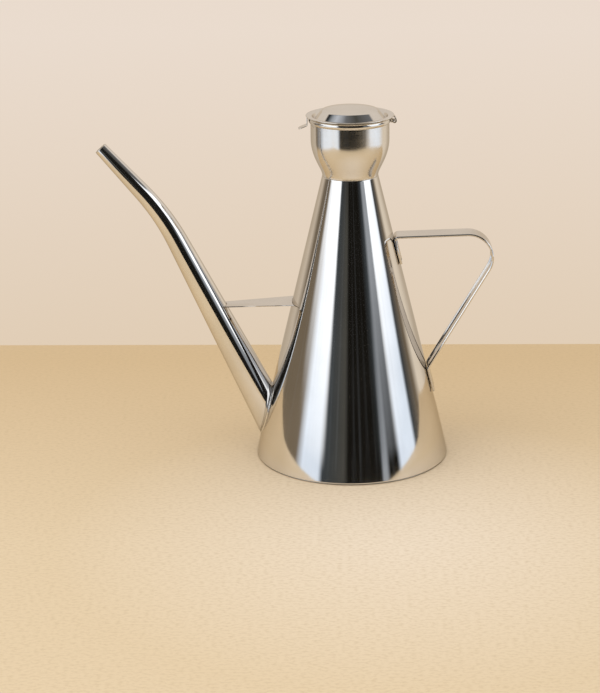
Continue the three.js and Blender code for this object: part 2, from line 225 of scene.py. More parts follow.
class SteelFinish(bpy.types.PropertyGroup):
    """Colours and polish of the steel"""

    shell: colour("Shell", (0.79, 0.775, 0.755), "Mirror polished cone and spout")
    shell_polish: share("Shell polish", 0.05, "Roughness of the cone and spout")
    cup: colour("Cup", (0.755, 0.735, 0.705), "Spun filling cup")
    cup_polish: share("Cup polish", 0.12, "Roughness of the cup")
    cup_brushed: share("Cup brushed", 0.85, "How much more the cup blurs up and down than round")
    lid: colour("Lid", (0.76, 0.74, 0.71), "Pressed lid")
    lid_polish: share("Lid polish", 0.07, "Roughness of the lid")
    strap: colour("Strap", (0.73, 0.7, 0.66), "Bright strip of the handle and brace")
    strap_polish: share("Strap polish", 0.1, "Roughness of the handle and brace")
    edge: colour("Edge", (0.74, 0.71, 0.66), "Cone, spout and cup seen at a shallow angle")
    flat_edge: colour("Flat edge", (0.9, 0.88, 0.86), "Lid and strip seen at a shallow angle")
    wire: colour("Wire", (0.58, 0.56, 0.53), "Drawn wire of the hinge")
    wire_polish: share("Wire polish", 0.2, "Roughness of the wire")
    base: colour("Base", (0.55, 0.53, 0.5), "Satin bottom sheet")
    base_polish: share("Base polish", 0.32, "Roughness of the bottom sheet")


class StageSettings(bpy.types.PropertyGroup):
    """The table, the light and the camera"""

    # Painted light on the table: the back colour is painted shade and the front colour is painted
    # light
    shaded_table_back: colour("Table back", (0.71, 0.51, 0.285), "Table at its back edge")
    lit_table_front: colour("Table front", (0.81, 0.635, 0.415), "Table near the camera")
    # A painted pool of light on the table, its brightest part
    table_painted_pool: colour("Table glow", (0.95, 0.81, 0.65), "Brightest part of the table")
    table_edge: length("Table edge", 178.7, "Back edge of the table behind the pourer")
    table_depth: length("Table depth", 590, "Depth of the table top")
    table_width: length("Table width", 1000, "Width of the table top")
    table_shift: length("Table shift", 60, "Middle of the table to the right of the pourer")
    table_board: length("Table board", 24, "Thickness of the table top")
    table_turn: angle("Table turn", -0.78, "Turn of the table under the pourer")
    wall_top: colour("Wall top", (0.82, 0.71, 0.615), "Wall at the top of the picture")
    wall_low: colour("Wall low", (0.745, 0.605, 0.455), "Wall at the table's edge")
    camera_back: length("Camera distance", 986.3, "Camera in front of the pourer")
    camera_height: length("Camera height", 380.4, "Camera above the table")
    camera_yaw: angle("Camera yaw", -1.539, "Camera turned to the left of straight ahead")
    camera_pitch: angle("Camera pitch", 18.125, "Camera tilted down")
    camera_roll: angle("Camera roll", -0.844, "Camera rolled about its view")
    camera_lens: length("Camera lens", 104.44, "Focal length on a 36 mm sensor")
    room_light: number("Room light", 0.78, "Even light from all round", min=0.0)
    lamp_power: number("Lamp power", 6.2, "Power of the large lamp", min=0.0, unit="POWER")


# Paths: places with their headings in a plane

def parts(steps):
    """Even parts from nought to one"""
    return [step / steps for step in range(steps + 1)]


def turned(vector, turn):
    """A flat vector turned to the left by an angle"""
    return Vector((
        vector.x * math.cos(turn) - vector.y * math.sin(turn),
        vector.x * math.sin(turn) + vector.y * math.cos(turn),
    ))


def route(corners, radii, arc_step=ARC_STEP):
    """Straight runs with rounded corners, as places and headings"""
    corners = [Vector(corner) for corner in corners]
    stations = [(corners[0], (corners[1] - corners[0]).normalized())]

    def add(place, heading):
        if (place - stations[-1][0]).dot(heading) > TOUCH:
            stations.append((place, heading))

    for before, corner, after, radius in zip(corners, corners[1:], corners[2:], radii):
        arrive = (corner - before).normalized()
        leave = (after - corner).normalized()
        turn = math.atan2(arrive.cross(leave), arrive.dot(leave))
        start = corner - arrive * radius * math.tan(abs(turn) / 2)
        centre = start + turned(arrive, math.copysign(math.pi / 2, turn)) * radius
        steps = max(2, math.ceil(abs(turn) / arc_step))
        add(start - arrive * EASE, arrive)
        for part in parts(steps):
            add(centre + turned(start - centre, turn * part), turned(arrive, turn * part))
        add(stations[-1][0] + leave * EASE, leave)
    add(corners[-1], (corners[-1] - corners[-2]).normalized())
    return stations


def along(places):
    """Closely spaced places with the headings between their neighbours"""
    stations = []
    for i, place in enumerate(places):
        before = places[max(i - 1, 0)]
        after = places[min(i + 1, len(places) - 1)]
        stations.append((place, (after - before).normalized()))
    return stations


def curve(start, pull, counter, end):
    """A smooth curve in a plane from start to end"""
    points = [Vector((x, y, 0)) for x, y in (start, pull, counter, end)]
    return [place.xy for place in interpolate_bezier(*points, CURVE_POINTS)]


def circle(radius, sides):
    """The points of a round section"""
    turns = [math.tau * part for part in parts(sides)[:-1]]
    return [(radius * math.cos(turn), radius * math.sin(turn)) for turn in turns]


def bar(width, thickness, edge_round):
    """The points of a flat section with rounded edges"""
    half, deep = width / 2, thickness / 2
    corners = [(0, -deep), (half, -deep), (half, deep), (-half, deep), (-half, -deep), (0, -deep)]
    return [tuple(place) for place, _ in route(corners, [edge_round] * 4)][:-1]


def ring(section, origin, across, upward):
    """A section set up at a place, in the plane of two directions"""
    return [origin + across * u + upward * w for u, w in section]


def strip_rings(stations, section):
    """Rings of a strip that follows a path in the XZ plane, with its width along Y"""
    rings = []
    for place, heading in stations:
        origin = Vector((place.x, 0, place.y))
        upward = Vector((-heading.y, 0, heading.x))
        rings.append(ring(section, origin, Vector((0, 1, 0)), upward))
    return rings


# Meshes

def loft(bm, rings):
    """Draw the first ring and extrude it through the others; the two end loops come back"""
    verts = [bm.verts.new(place) for place in rings[0]]
    edges = [bm.edges.new(pair) for pair in zip(verts, verts[1:] + verts[:1])]
    first = edges
    for places in rings[1:]:
        made = bmesh.ops.extrude_edge_only(bm, edges=edges)["geom"]
        fresh = {item for item in made if isinstance(item, bmesh.types.BMVert)}
        copies = []
        for vert, place in zip(verts, places):
            others = (edge.other_vert(vert) for edge in vert.link_edges)
            copy = next(other for other in others if other in fresh)
            copy.co = place
            copies.append(copy)
        verts = copies
        edges = [bm.edges.get(pair) for pair in zip(verts, verts[1:] + verts[:1])]
    return first, edges


def capped_loft(bm, rings, edge_round):
    """A loft closed at both ends, with its end edges rounded"""
    ends = loft(bm, rings)
    for loop in ends:
        bmesh.ops.contextual_create(bm, geom=loop)
    round_edges(bm, [edge for loop in ends for edge in loop], edge_round)


def round_edges(bm, edges, size):
    """Bevel edges into a small round"""
    if not edges:
        raise ValueError("there is no edge to round")
    bmesh.ops.bevel(
        bm, geom=edges, offset=size, offset_type="OFFSET", segments=BEVEL_STEPS, profile=0.5,
        affect="EDGES", material=-1,
    )


def spun(bm, profile, closed):
    """Spin a profile of radius and height about Z"""
    verts = [bm.verts.new((radius, 0, height)) for radius, height in profile]
    pairs = list(zip(verts, verts[1:]))
    if closed:
        pairs.append((verts[-1], verts[0]))
    edges = [bm.edges.new(pair) for pair in pairs]
    bmesh.ops.spin(
        bm, geom=verts + edges, cent=(0, 0, 0), axis=(0, 0, 1), dvec=(0, 0, 0), angle=math.tau,
        steps=TURN_STEPS, use_merge=True, use_duplicate=False,
    )


def rim(bm, radius, height):
    """The edges of a spun shape at one radius and height"""
    def on_rim(vert):
        return abs(vert.co.xy.length - radius) < TOUCH and abs(vert.co.z - height) < TOUCH

    return [edge for edge in bm.edges if all(on_rim(vert) for vert in edge.verts)]


def linked(name, data):
    """Put an object into the scene"""
    thing = bpy.data.objects.new(name, data)
    bpy.context.scene.collection.objects.link(thing)
    return thing


def placed(bm, name, material):
    """Put a mesh with its finish into the scene"""
    mesh = bpy.data.meshes.new(name)
    bm.to_mesh(mesh)
    bm.free()
    mesh.materials.append(material)
    return linked(name, mesh)


def finished(bm, name, finish, body, slot, *nodes):
    """Make a smooth steel piece of the mesh, on its body, in place of its CAD nodes"""
    bmesh.ops.remove_doubles(bm, verts=bm.verts, dist=MERGE)
    bmesh.ops.recalc_face_normals(bm, faces=bm.faces)
    piece = placed(bm, name, steel(finish))
    piece.data.shade_smooth()
    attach(piece, body)
    if nodes:
        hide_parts(*nodes)


# Shapes that several pieces share

def cone_slope(vessel):
    """How much the cone's radius falls for each metre of height"""
    return (vessel.base_radius - vessel.neck_radius) / vessel.cone_height


def cone_radius(vessel, height):
    """The cone's outer radius at a height"""
    return vessel.base_radius - cone_slope(vessel) * (height - vessel.base_thickness)


def shoulder(vessel):
    """Height of the cone's top edge"""
    return vessel.base_thickness + vessel.cone_height


def hem_bottom(vessel):
    """Height of the hem's lower edge"""
    parts = (vessel.throat_height, vessel.flare_height, vessel.cup_wall_height)
    return shoulder(vessel) + sum(parts)


def hem_top(vessel):
    """Height of the hem's top"""
    return hem_bottom(vessel) + vessel.hem_height


def hem_radius(vessel):
    """Outer radius of the hem"""
    return vessel.cup_radius + vessel.hem_proud


def hinge_place(vessel, lid):
    """Where the hinge's axis crosses the XZ plane"""
    reach = lid.wire / 2 + lid.curl_bore_gap + lid.sheet + lid.curl_gap
    return Vector((hem_radius(vessel) + reach, hem_top(vessel) - lid.hinge_drop))


# Cone and base

def cone_outline(vessel, inset):
    """Places up the cone's side, moved in by a thickness, with a narrow step at each end"""
    low, high = vessel.base_thickness, shoulder(vessel)
    narrow = 2 * vessel.edge_round
    foot = [low, low + narrow]
    foot += [low + vessel.foot_height * part for part in parts(FOOT_STEPS)[1:-1]]
    side_low = low + vessel.foot_height
    side = [side_low + (high - side_low) * part for part in parts(SIDE_STEPS)[:-1]]
    side += [high - narrow, high]
    places = []
    for height in foot + side:
        drawn = max(0.0, 1 - (height - low) / vessel.foot_height) ** 2 * vessel.foot_draw
        places.append((cone_radius(vessel, height) - drawn - inset, height))
    return places


class PourerConeBody(bpy.types.Operator):
    """Build the rolled cone, drawn in a little at its foot"""

    bl_idname = "pourer.cone_body"
    bl_label = "Cone Body"

    def execute(self, context):
        vessel = context.scene.pourer_vessel
        outer = cone_outline(vessel, 0)
        inner = cone_outline(vessel, vessel.sheet / math.cos(math.atan(cone_slope(vessel))))
        bm = bmesh.new()
        spun(bm, outer + inner[::-1], closed=True)
        edges = rim(bm, *outer[0]) + rim(bm, *outer[-1])
        round_edges(bm, edges, vessel.edge_round)
        finished(bm, "cone_shell", "mirror_shell", VESSEL, "polished_shell", "cone_body")
        return {"FINISHED"}


class PourerBaseDisc(bpy.types.Operator):
    """Build the flat bottom sheet"""

    bl_idname = "pourer.base_disc"
    bl_label = "Base Disc"

    def execute(self, context):
        vessel = context.scene.pourer_vessel
        radius = vessel.base_radius - vessel.base_inset
        top = vessel.base_thickness
        bm = bmesh.new()
        spun(bm, [(0, 0), (radius, 0), (radius, top), (0, top)], closed=False)
        round_edges(bm, rim(bm, radius, 0), vessel.edge_round)
        finished(bm, "bottom_sheet", "satin_base", VESSEL, "base_sheet", "base_disc")
        return {"FINISHED"}


# Filling cup

def hem_bead(vessel):
    """Places round the outside of the hem and over its top into the mouth"""
    middle = hem_top(vessel) - vessel.hem_height / 2
    places = []
    for part in parts(HEM_STEPS):
        turn = math.pi * part
        out = vessel.hem_proud * math.sin(turn)
        places.append((vessel.cup_radius + out, middle - vessel.hem_height / 2 * math.cos(turn)))
    for part in parts(LIP_STEPS)[1:]:
        turn = math.pi / 2 * part
        inward = vessel.sheet * math.sin(turn)
        drop = vessel.sheet * (1 - math.cos(turn))
        places.append((vessel.cup_radius - inward, hem_top(vessel) - drop))
    return places


def flare_side(vessel, low_radius, high_radius):
    """One side of the flare, from the throat up to the wall"""
    low = shoulder(vessel) + vessel.throat_height
    high = low + vessel.flare_height
    return curve(
        (low_radius, low),
        (low_radius, low + vessel.flare_lower_pull),
        (high_radius, high - vessel.flare_upper_pull),
        (high_radius, high),
    )


class PourerNeckCup(bpy.types.Operator):
    """Build the flared filling cup with its spigot and rolled hem"""

    bl_idname = "pourer.neck_cup"
    bl_label = "Neck Cup"

    def execute(self, context):
        vessel = context.scene.pourer_vessel
        sheet = vessel.sheet
        seat = shoulder(vessel)
        throat = vessel.neck_radius - sheet
        spigot = throat - vessel.spigot_gap
        outer = flare_side(vessel, vessel.neck_radius, vessel.cup_radius)
        inner = flare_side(vessel, throat, vessel.cup_radius - sheet)[::-1]
        hem = [(vessel.cup_radius, hem_bottom(vessel) - EASE)] + hem_bead(vessel)
        foot = [
            (spigot - sheet, seat),
            (spigot - sheet, seat - vessel.spigot_length),
            (spigot, seat - vessel.spigot_length),
            (spigot, seat),
            (vessel.neck_radius, seat),
        ]
        bm = bmesh.new()
        spun(bm, foot + outer + hem + inner, closed=True)
        round_edges(bm, rim(bm, vessel.neck_radius, seat), vessel.edge_round)
        finished(bm, "filling_cup", "spun_cup", VESSEL, "polished_shell", "neck_cup")
        return {"FINISHED"}


# Lid and hinge

def lid_levels(vessel, lid):
    """Radius of the lid's edge, height of its seat and height of its edge"""
    seat = hem_top(vessel) + lid.seat_gap + lid.sheet
    return hem_radius(vessel) + lid.overhang, seat, seat + lid.rim_rise


def lid_outline(vessel, lid):
    """The lid's upper surface from the crown's middle to the rim"""
    edge_radius, seat, edge = lid_levels(vessel, lid)
    channel = seat - lid.channel_depth
    wall_foot = vessel.cup_radius - vessel.sheet - lid.plug_gap - lid.sheet
    dome = wall_foot - lid.channel_width
    side = Vector((-lid.dome_side_run, lid.dome_side_height))
    side_top = Vector((dome, channel)) + side
    top = seat + lid.dome_rise
    lift = (top - side_top.y) * lid.shoulder_fullness
    crown = curve(
        (0, top),
        (side_top.x * lid.crown_flatness, top),
        side_top + side * (lift / side.y),
        side_top,
    )
    corners = [
        side_top,
        (dome, channel),
        (wall_foot, channel),
        (wall_foot + lid.channel_step, seat),
        (edge_radius, edge),
    ]
    small = lid.channel_width / 2
    press = route(corners, [small, small, lid.corner_round])
    return crown[:-1] + [place for place, _ in press]


def rim_root(vessel, lid, depth):
    """A place in the middle of the lid's sheet, this deep inside its edge"""
    edge_radius, _, edge = lid_levels(vessel, lid)
    fall = lid.rim_rise * depth / (lid.overhang + vessel.hem_proud)
    return Vector((edge_radius - depth, edge - lid.sheet / 2 - fall))


def curl_stations(vessel, lid):
    """From the rim out over the wire, then round it"""
    hinge = hinge_place(vessel, lid)
    radius = (lid.wire + lid.sheet) / 2 + lid.curl_bore_gap
    root = rim_root(vessel, lid, lid.overhang)
    edge = rim_root(vessel, lid, 0)
    outside = hinge + Vector((radius, 0))
    over = curve(
        root,
        edge + Vector((lid.overhang / 2, 0)),
        outside + Vector((0, radius)),
        outside,
    )
    steps = math.ceil(lid.curl_wrap / ARC_STEP)
    turns = [-lid.curl_wrap * part for part in parts(steps)[1:]]
    return along(over + [hinge + turned(Vector((radius, 0)), turn) for turn in turns])


def tongue(lid, width, edge):
    """The section of a strip that runs out of the lid's rim"""
    return bar(width, lid.sheet * lid.tongue, lid.sheet * edge)


def tab_rings(vessel, lid):
    """The thumb tab: down outside the hem, then outwards, with a rounded end"""
    root = rim_root(vessel, lid, lid.overhang)
    radius = hem_radius(vessel) + lid.tab_gap + lid.sheet / 2
    bend = Vector((radius, root.y - lid.tab_drop))
    out = Vector((math.cos(lid.tab_slope), -math.sin(lid.tab_slope)))
    square = bend + out * (lid.tab_reach - lid.tab_corner)
    corners = [root, (radius, rim_root(vessel, lid, 0).y), bend, square]
    rings = strip_rings(
        route(corners, [lid.tab_top_round, lid.tab_lower_round]),
        tongue(lid, lid.tab_width, lid.tab_edge),
    )
    for part in parts(TAB_STEPS)[1:]:
        turn = math.pi / 2 * part
        width = lid.tab_width - (1 - math.cos(turn)) * lid.tab_corner * 2
        shift = Vector((out.x, 0, out.y)) * lid.tab_corner * math.sin(turn)
        last = strip_rings([(square, out)], tongue(lid, width, lid.tab_edge))[0]
        rings.append([place + shift for place in last])
    mirrored = Matrix.Rotation(math.pi, 3, "Z")
    return [[mirrored @ place for place in places] for places in rings]


class PourerLid(bpy.types.Operator):
    """Build the pressed lid with its hinge curl and thumb tab"""

    bl_idname = "pourer.lid"
    bl_label = "Lid"

    def execute(self, context):
        vessel, lid = context.scene.pourer_vessel, context.scene.pourer_lid
        upper, under = [], []
        for place, heading in along(lid_outline(vessel, lid)):
            upper.append(place)
            under.append(place + turned(heading, -math.pi / 2) * lid.sheet)
        under[0].x = 0
        edge_middle = (upper[-1] + under[-1]) / 2
        half = upper[-1] - edge_middle
        turns = [-math.pi * part for part in parts(EDGE_STEPS)[1:-1]]
        edge = [edge_middle + turned(half, turn) for turn in turns]
        bm = bmesh.new()
        spun(bm, upper + edge + under[::-1], closed=False)
        section = tongue(lid, lid.curl_width, lid.tongue_edge)
        for rings in (strip_rings(curl_stations(vessel, lid), section), tab_rings(vessel, lid)):
            capped_loft(bm, rings, lid.sheet * lid.tongue_edge)
        finished(bm, "lid_pressing", "pressed_lid", COVER, "lid_sheet", "lid")
        return {"FINISHED"}


class PourerHingeStaple(bpy.types.Operator):
    """Build the bent wire that the lid turns on"""

    bl_idname = "pourer.hinge_staple"
    bl_label = "Hinge Staple"

    def execute(self, context):
        vessel, lid = context.scene.pourer_vessel, context.scene.pourer_lid
        hinge = hinge_place(vessel, lid)
        leg = lid.curl_width / 2 + lid.curl_end_gap + lid.wire_bend
        root = math.sqrt(hem_radius(vessel) ** 2 - leg ** 2)
        corners = [(root, -leg), (hinge.x, -leg), (hinge.x, leg), (root, leg)]
        rings = []
        for place, heading in route(corners, [lid.wire_bend] * 2):
            origin = Vector((place.x, place.y, hinge.y))
            across = Vector((-heading.y, heading.x, 0))
            rings.append(ring(circle(lid.wire / 2, WIRE_SIDES), origin, across, Vector((0, 0, 1))))
        bm = bmesh.new()
        capped_loft(bm, rings, lid.wire * lid.wire_end)
        finished(bm, "hinge_wire", "drawn_wire", VESSEL, "wire", "hinge_staple")
        return {"FINISHED"}


# Spout and brace

class SpoutShape:
    """The spout's axis and taper, measured along it from the cone's surface"""

    turns = [math.tau * part for part in parts(SPOUT_SIDES)[:-1]]

    def __init__(self, vessel, spout):
        self.vessel, self.spout = vessel, spout
        self.clear = 2 * spout.root_diameter
        self.root = Vector((-cone_radius(vessel, spout.root_height), spout.root_height))
        self.lower = turned(Vector((0, 1)), spout.lean)
        self.upper = turned(Vector((0, 1)), spout.tip_lean)
        bend = self.root + self.lower * spout.lower_run
        tip = bend + self.upper * spout.upper_run
        self.stations, travelled = [], 0.0
        last = self.root
        for place, heading in route([self.root, bend, tip], [spout.bend_radius], BEND_STEP):
            travelled += (place - last).length
            last = place
            self.stations.append((travelled, place, heading))
        self.length = travelled

    def radius(self, travelled):
        """Outer radius at a distance along the axis"""
        spout = self.spout
        part = travelled / self.length
        return (spout.root_diameter + (spout.tip_diameter - spout.root_diameter) * part) / 2

    def point(self, turn, travelled, place, heading, inset):
        """A place on the tube's skin at an angle round it"""
        radius = self.radius(travelled) - inset
        across = Vector((-heading.y, 0, heading.x)) * math.cos(turn)
        return Vector((place.x, 0, place.y)) + (across + Vector((0, -math.sin(turn), 0))) * radius

    def lower_point(self, turn, travelled, inset):
        """A place on the straight lower part, which may run on into the cone"""
        place = self.root + self.lower * travelled
        return self.point(turn, travelled, place, self.lower, inset)

    def saddle(self, turn, inset, gap):
        """How far along the tube its skin comes out of the cone"""
        low, high = -self.clear, self.clear
        for _ in range(HALVINGS):
            middle = (low + high) / 2
            place = self.lower_point(turn, middle, inset)
            if place.xy.length < cone_radius(self.vessel, place.z) + gap:
                low = middle
            else:
                high = middle
        return low

    def rings(self, inset, gap):
        """Rings from the saddle on the cone to the tip"""
        starts = [self.saddle(turn, inset, gap) for turn in self.turns]
        rings = []
        for part in parts(ROOT_STEPS):
            rings.append([
                self.lower_point(turn, start + (self.clear - start) * part, inset)
                for turn, start in zip(self.turns, starts)
            ])
        for station in self.stations:
            if station[0] > self.clear + self.spout.root_diameter:
                rings.append([self.point(turn, *station, inset) for turn in self.turns])
        return rings

    def weld_rings(self):
        """Rings of the smooth weld, from the tube round to the cone and back inside"""
        slope = cone_slope(self.vessel)
        leg = self.spout.weld
        saddle = [self.lower_point(turn, self.saddle(turn, 0, 0), 0) for turn in self.turns]
        tube = Vector((self.lower.x, 0, self.lower.y)) * leg
        rings = [[] for _ in range(WELD_STEPS + 2)]
        for i, place in enumerate(saddle):
            follow = saddle[(i + 1) % SPOUT_SIDES] - saddle[i - 1]
            outward = Vector((place.x, place.y, slope * place.xy.length)).normalized()
            away = follow.cross(outward).normalized() * leg
            middle = Vector((self.root.x, 0, self.root.y))
            if away.dot(place - middle) < 0:
                away.negate()
            for places, part in zip(rings, parts(WELD_STEPS)):
                places.append(place + tube * (1 - part) ** 2 + away * part ** 2)
            rings[-1].append(place - outward * leg / 2)
        return rings


class PourerSpout(bpy.types.Operator):
    """Build the tapered spout, saddle-cut to the cone, and its weld"""

    bl_idname = "pourer.spout"
    bl_label = "Spout"

    def execute(self, context):
        vessel, spout = context.scene.pourer_vessel, context.scene.pourer_spout
        shape = SpoutShape(vessel, spout)
        bm = bmesh.new()
        outer = loft(bm, shape.rings(0, -spout.seat))
        inner = loft(bm, shape.rings(spout.wall, -spout.seat))
        for loops in zip(outer, inner):
            bmesh.ops.bridge_loops(bm, edges=loops[0] + loops[1])
        round_edges(bm, outer[1] + inner[1], spout.lip_round)
        finished(bm, "spout_tube", "mirror_shell", VESSEL, "polished_shell", "spout")
        bm = bmesh.new()
        first, last = loft(bm, shape.weld_rings())
        bmesh.ops.bridge_loops(bm, edges=first + last)
        finished(bm, "spout_weld", "mirror_shell", VESSEL, "polished_shell")
        return {"FINISHED"}


class PourerSpoutBrace(bpy.types.Operator):
    """Build the wedge-shaped plate between spout and cone"""

    bl_idname = "pourer.spout_brace"
    bl_label = "Spout Brace"

    def execute(self, context):
        vessel, spout = context.scene.pourer_vessel, context.scene.pourer_spout
        shape = SpoutShape(vessel, spout)
        high = spout.brace_height
        low = high - spout.brace_fall
        travelled = (low - shape.root.y) / shape.lower.y
        tube = shape.radius(travelled) + spout.seat
        axis = shape.root.x + shape.lower.x * travelled
        cone = cone_radius(vessel, high) + spout.seat
        spread = [part * 2 - 1 for part in parts(BRACE_STEPS)]
        half_low, half_high = spout.brace_spout_width / 2, spout.brace_cone_width / 2
        outline = []
        for part in spread:
            y = half_low * part
            outline.append((axis + math.sqrt(tube ** 2 - y ** 2) / math.cos(spout.lean), y))
        for part in reversed(spread):
            y = half_high * part
            outline.append((-math.sqrt(cone ** 2 - y ** 2), y))
        fall = (high - low) / (-cone - axis)
        bm = bmesh.new()
        under = spout.brace_thickness / 2
        verts = [bm.verts.new((x, y, low + (x - axis) * fall - under)) for x, y in outline]
        plate = bm.faces.new(verts)
        made = bmesh.ops.extrude_face_region(bm, geom=[plate])["geom"]
        top = [item for item in made if isinstance(item, bmesh.types.BMVert)]
        bmesh.ops.translate(bm, verts=top, vec=(0, 0, spout.brace_thickness))
        sides = [edge for edge in bm.edges if len({vert in top for vert in edge.verts}) == 1]
        round_edges(bm, sides, spout.brace_round)
        finished(bm, "brace_plate", "bright_strip", VESSEL, "strap", "spout_brace")
        return {"FINISHED"}


# Strap handle

def touching(place, centre, radius, side):
    """The heading from a place that just touches a circle, left of its centre (1) or right (-1)"""
    reach = centre - place
    return turned(reach.normalized(), side * math.asin(radius / reach.length))


def folded_section(handle):
    """A flat sheet with both its edges folded over on one side"""
    half, face = handle.width / 2, handle.thickness / 2
    web, inner = face - handle.sheet, half - handle.fold
    shoulder_in = half - handle.fold_draw
    foot = inner - handle.fold_lean
    right = [(shoulder_in, face), (half, 0), (shoulder_in, -face), (inner, -face), (foot, web)]
    left = [(-across, height) for across, height in reversed(right)]
    edge, fold = handle.edge_round, handle.fold_round
    rounds = [edge, handle.front_round, edge, fold, fold]
    stations = route([(0, face)] + right + left + [(0, face)], rounds + rounds[::-1])
    return [tuple(place) for place, _ in stations][:-1]


class PourerHandleStrap(bpy.types.Operator):
    """Build the strap handle with its folded edges and its tabs on the cone"""

    bl_idname = "pourer.handle_strap"
    bl_label = "Handle Strap"

    def execute(self, context):
        vessel, handle = context.scene.pourer_vessel, context.scene.pourer_handle
        lean = math.atan(cone_slope(vessel))
        offset = (handle.seat + handle.thickness / 2) / math.cos(lean)

        def on_cone(height):
            return Vector((cone_radius(vessel, height) + offset, height))

        top = handle.top_height - handle.thickness / 2
        radius = handle.corner_radius
        centre = Vector((handle.reach - handle.thickness / 2 - radius, top - radius))
        head = on_cone(top - handle.top_rise)
        foot = on_cone(handle.foot_height)
        top_run = touching(head, centre, radius, 1)
        slant_run = touching(foot, centre, radius, -1)
        reach = (foot - head).cross(slant_run) / top_run.cross(slant_run)
        corners = [
            on_cone(head.y - handle.upper_tab * math.cos(lean)),
            head,
            head + top_run * reach,
            foot,
            on_cone(foot.y - handle.lower_tab * math.cos(lean)),
        ]
        stations = route(corners, [handle.tab_bend, radius, handle.tab_bend])
        rings = strip_rings(stations, folded_section(handle))
        up_cone = Vector((-math.sin(lean), math.cos(lean)))
        for (place, heading), points in zip(stations, rings):
            press = handle.tab_press * max(heading.dot(up_cone), 0.0)
            inward = Vector((-heading.y, 0, heading.x)) * press
            for i, point in enumerate(points):
                sag = place.x - math.sqrt(place.x ** 2 - point.y ** 2)
                points[i] = point + inward * sag
        bm = bmesh.new()
        capped_loft(bm, rings, handle.fold_round)
        finished(bm, "strap_handle", "bright_strip", VESSEL, "strap", "handle_strap")
        return {"FINISHED"}


# Finishes

# Each steel: its settings, its edge colour, its polishing lines in a metre, and its relief
STEELS = {
    "mirror_shell": ("shell", "edge", 3600, 0.03),
    "spun_cup": ("cup", "edge", 5600, 0.05),
    "pressed_lid": ("lid", "flat_edge", 5600, 0.04),
    "bright_strip": ("strap", "flat_edge", 2800, 0.04),
    "drawn_wire": ("wire", "edge", 6000, 0.05),
    "satin_base": ("base", "edge", 3600, 0.06),
}

# Lines, smudges and swell of all steels: how often they repeat in a metre, and how far they show
LINE_STRETCH = 160
LINE_ROUGHNESS = 0.3
LINE_TURN = 0.25
SMUDGES = (45, 45, 30)
SMUDGE_TONES = (0.94, 1.04)
SMUDGE_ROUGHNESS = (0.7, 1.2)
SWELL = (38, 38, 16)
SWELL_DEPTH = 1.5 * MM


def feed(tree, node, inputs):
    """Join each named input of a node to a socket, or set it to a plain value"""
    for key, value in inputs.items():
        socket = node.inputs[key]
        if isinstance(value, bpy.types.NodeSocket):
            tree.links.new(value, socket)
        else:
            socket.default_value = (*value, 1.0) if socket.type == "RGBA" else value


def add(tree, kind, inputs=None, **settings):
    """Add a shader node with its options and inputs"""
    node = tree.nodes.new("ShaderNode" + kind)
    for key, value in settings.items():
        setattr(node, key, value)
    feed(tree, node, inputs or {})
    return node


def noise(tree, source, stretch, detail):
    """Noise on stretched coordinates"""
    place = add(tree, "Mapping", {"Vector": source, "Scale": stretch}).outputs["Vector"]
    texture = add(tree, "TexNoise", {"Vector": place, "Scale": 1.0, "Detail": detail})
    return texture.outputs["Fac"]


def ranged(tree, source, low, high, start=0.35, end=0.65):
    """A value moved from one range to another, held at its ends"""
    limits = {"From Min": start, "From Max": end, "To Min": low, "To Max": high}
    return add(tree, "MapRange", {"Value": source, **limits}).outputs["Result"]


def mixed(tree, factor, first, second):
    """One colour mixed into another; each is a socket or a plain colour"""
    inputs = {"Factor": factor, "A": first, "B": second}
    return add(tree, "Mix", inputs, data_type="RGBA").outputs["Result"]


def maths(tree, operation, first, second):
    """Two values worked into one; each is a socket or a plain number"""
    return add(tree, "Math", {0: first, 1: second}, operation=operation).outputs["Value"]


def fresh(name):
    """A new material with its nodes and their shader"""
    material = bpy.data.materials.new(name)
    material.use_nodes = True
    return material, material.node_tree, material.node_tree.nodes["Principled BSDF"]


def steel(name):
    """Steel with polishing lines round the piece, faint smudges and a slightly uneven sheet"""
    if name in bpy.data.materials:
        return bpy.data.materials[name]
    material, tree, shader = fresh(name)
    finish = bpy.context.scene.pourer_finish
    key, edge, fineness, relief = STEELS[name]
    tone, roughness = getattr(finish, key), getattr(finish, key + "_polish")
    place = add(tree, "TexCoord").outputs["Object"]
    coarseness = fineness / LINE_STRETCH
    lines = noise(tree, place, (coarseness, coarseness, fineness), detail=3)
    smudges = noise(tree, place, SMUDGES, detail=4)
    swell = noise(tree, place, SWELL, detail=1)
    dark, light = ([min(part * by, 1.0) for part in tone] for by in SMUDGE_TONES)
    dulling = ranged(tree, smudges, *(roughness * by for by in SMUDGE_ROUGHNESS))
    lining = ranged(tree, lines, 0.0, roughness * LINE_ROUGHNESS)
    bump = {"Strength": relief, "Distance": SWELL_DEPTH, "Height": swell}
    feed(tree, shader, {
        "Base Color": mixed(tree, ranged(tree, smudges, 0.0, 1.0), dark, light),
        "Metallic": 1.0,
        "Roughness": maths(tree, "ADD", dulling, lining),
        "Specular Tint": getattr(finish, edge),
        "Anisotropic": getattr(finish, key + "_brushed", 0.0),
        "Anisotropic Rotation": LINE_TURN,
        "Normal": add(tree, "Bump", bump).outputs["Normal"],
    })
    return material


# Table, light and camera

WALL = (0.69, 0.585, 0.465)
SIDE_WALL = (0.87, 0.755, 0.61)
UPPER_WALL = (0.79, 0.71, 0.625)
SHADE = (0.195, 0.15, 0.1)
SMOKE = (0.075, 0.072, 0.062)
SLATE = (0.365, 0.39, 0.425)
DUSK = (0.05, 0.058, 0.064)
DARK = (0.009, 0.008, 0.006)
WINDOW = (1.48, 1.53, 1.6)
WINDOW_LOW = (0.9, 1.0, 1.14)
SILL = (1.05, 1.12, 1.22)
SCRIM_LIGHT = (0.6, 0.63, 0.69)
SCRIM = (0.17, 0.172, 0.18)

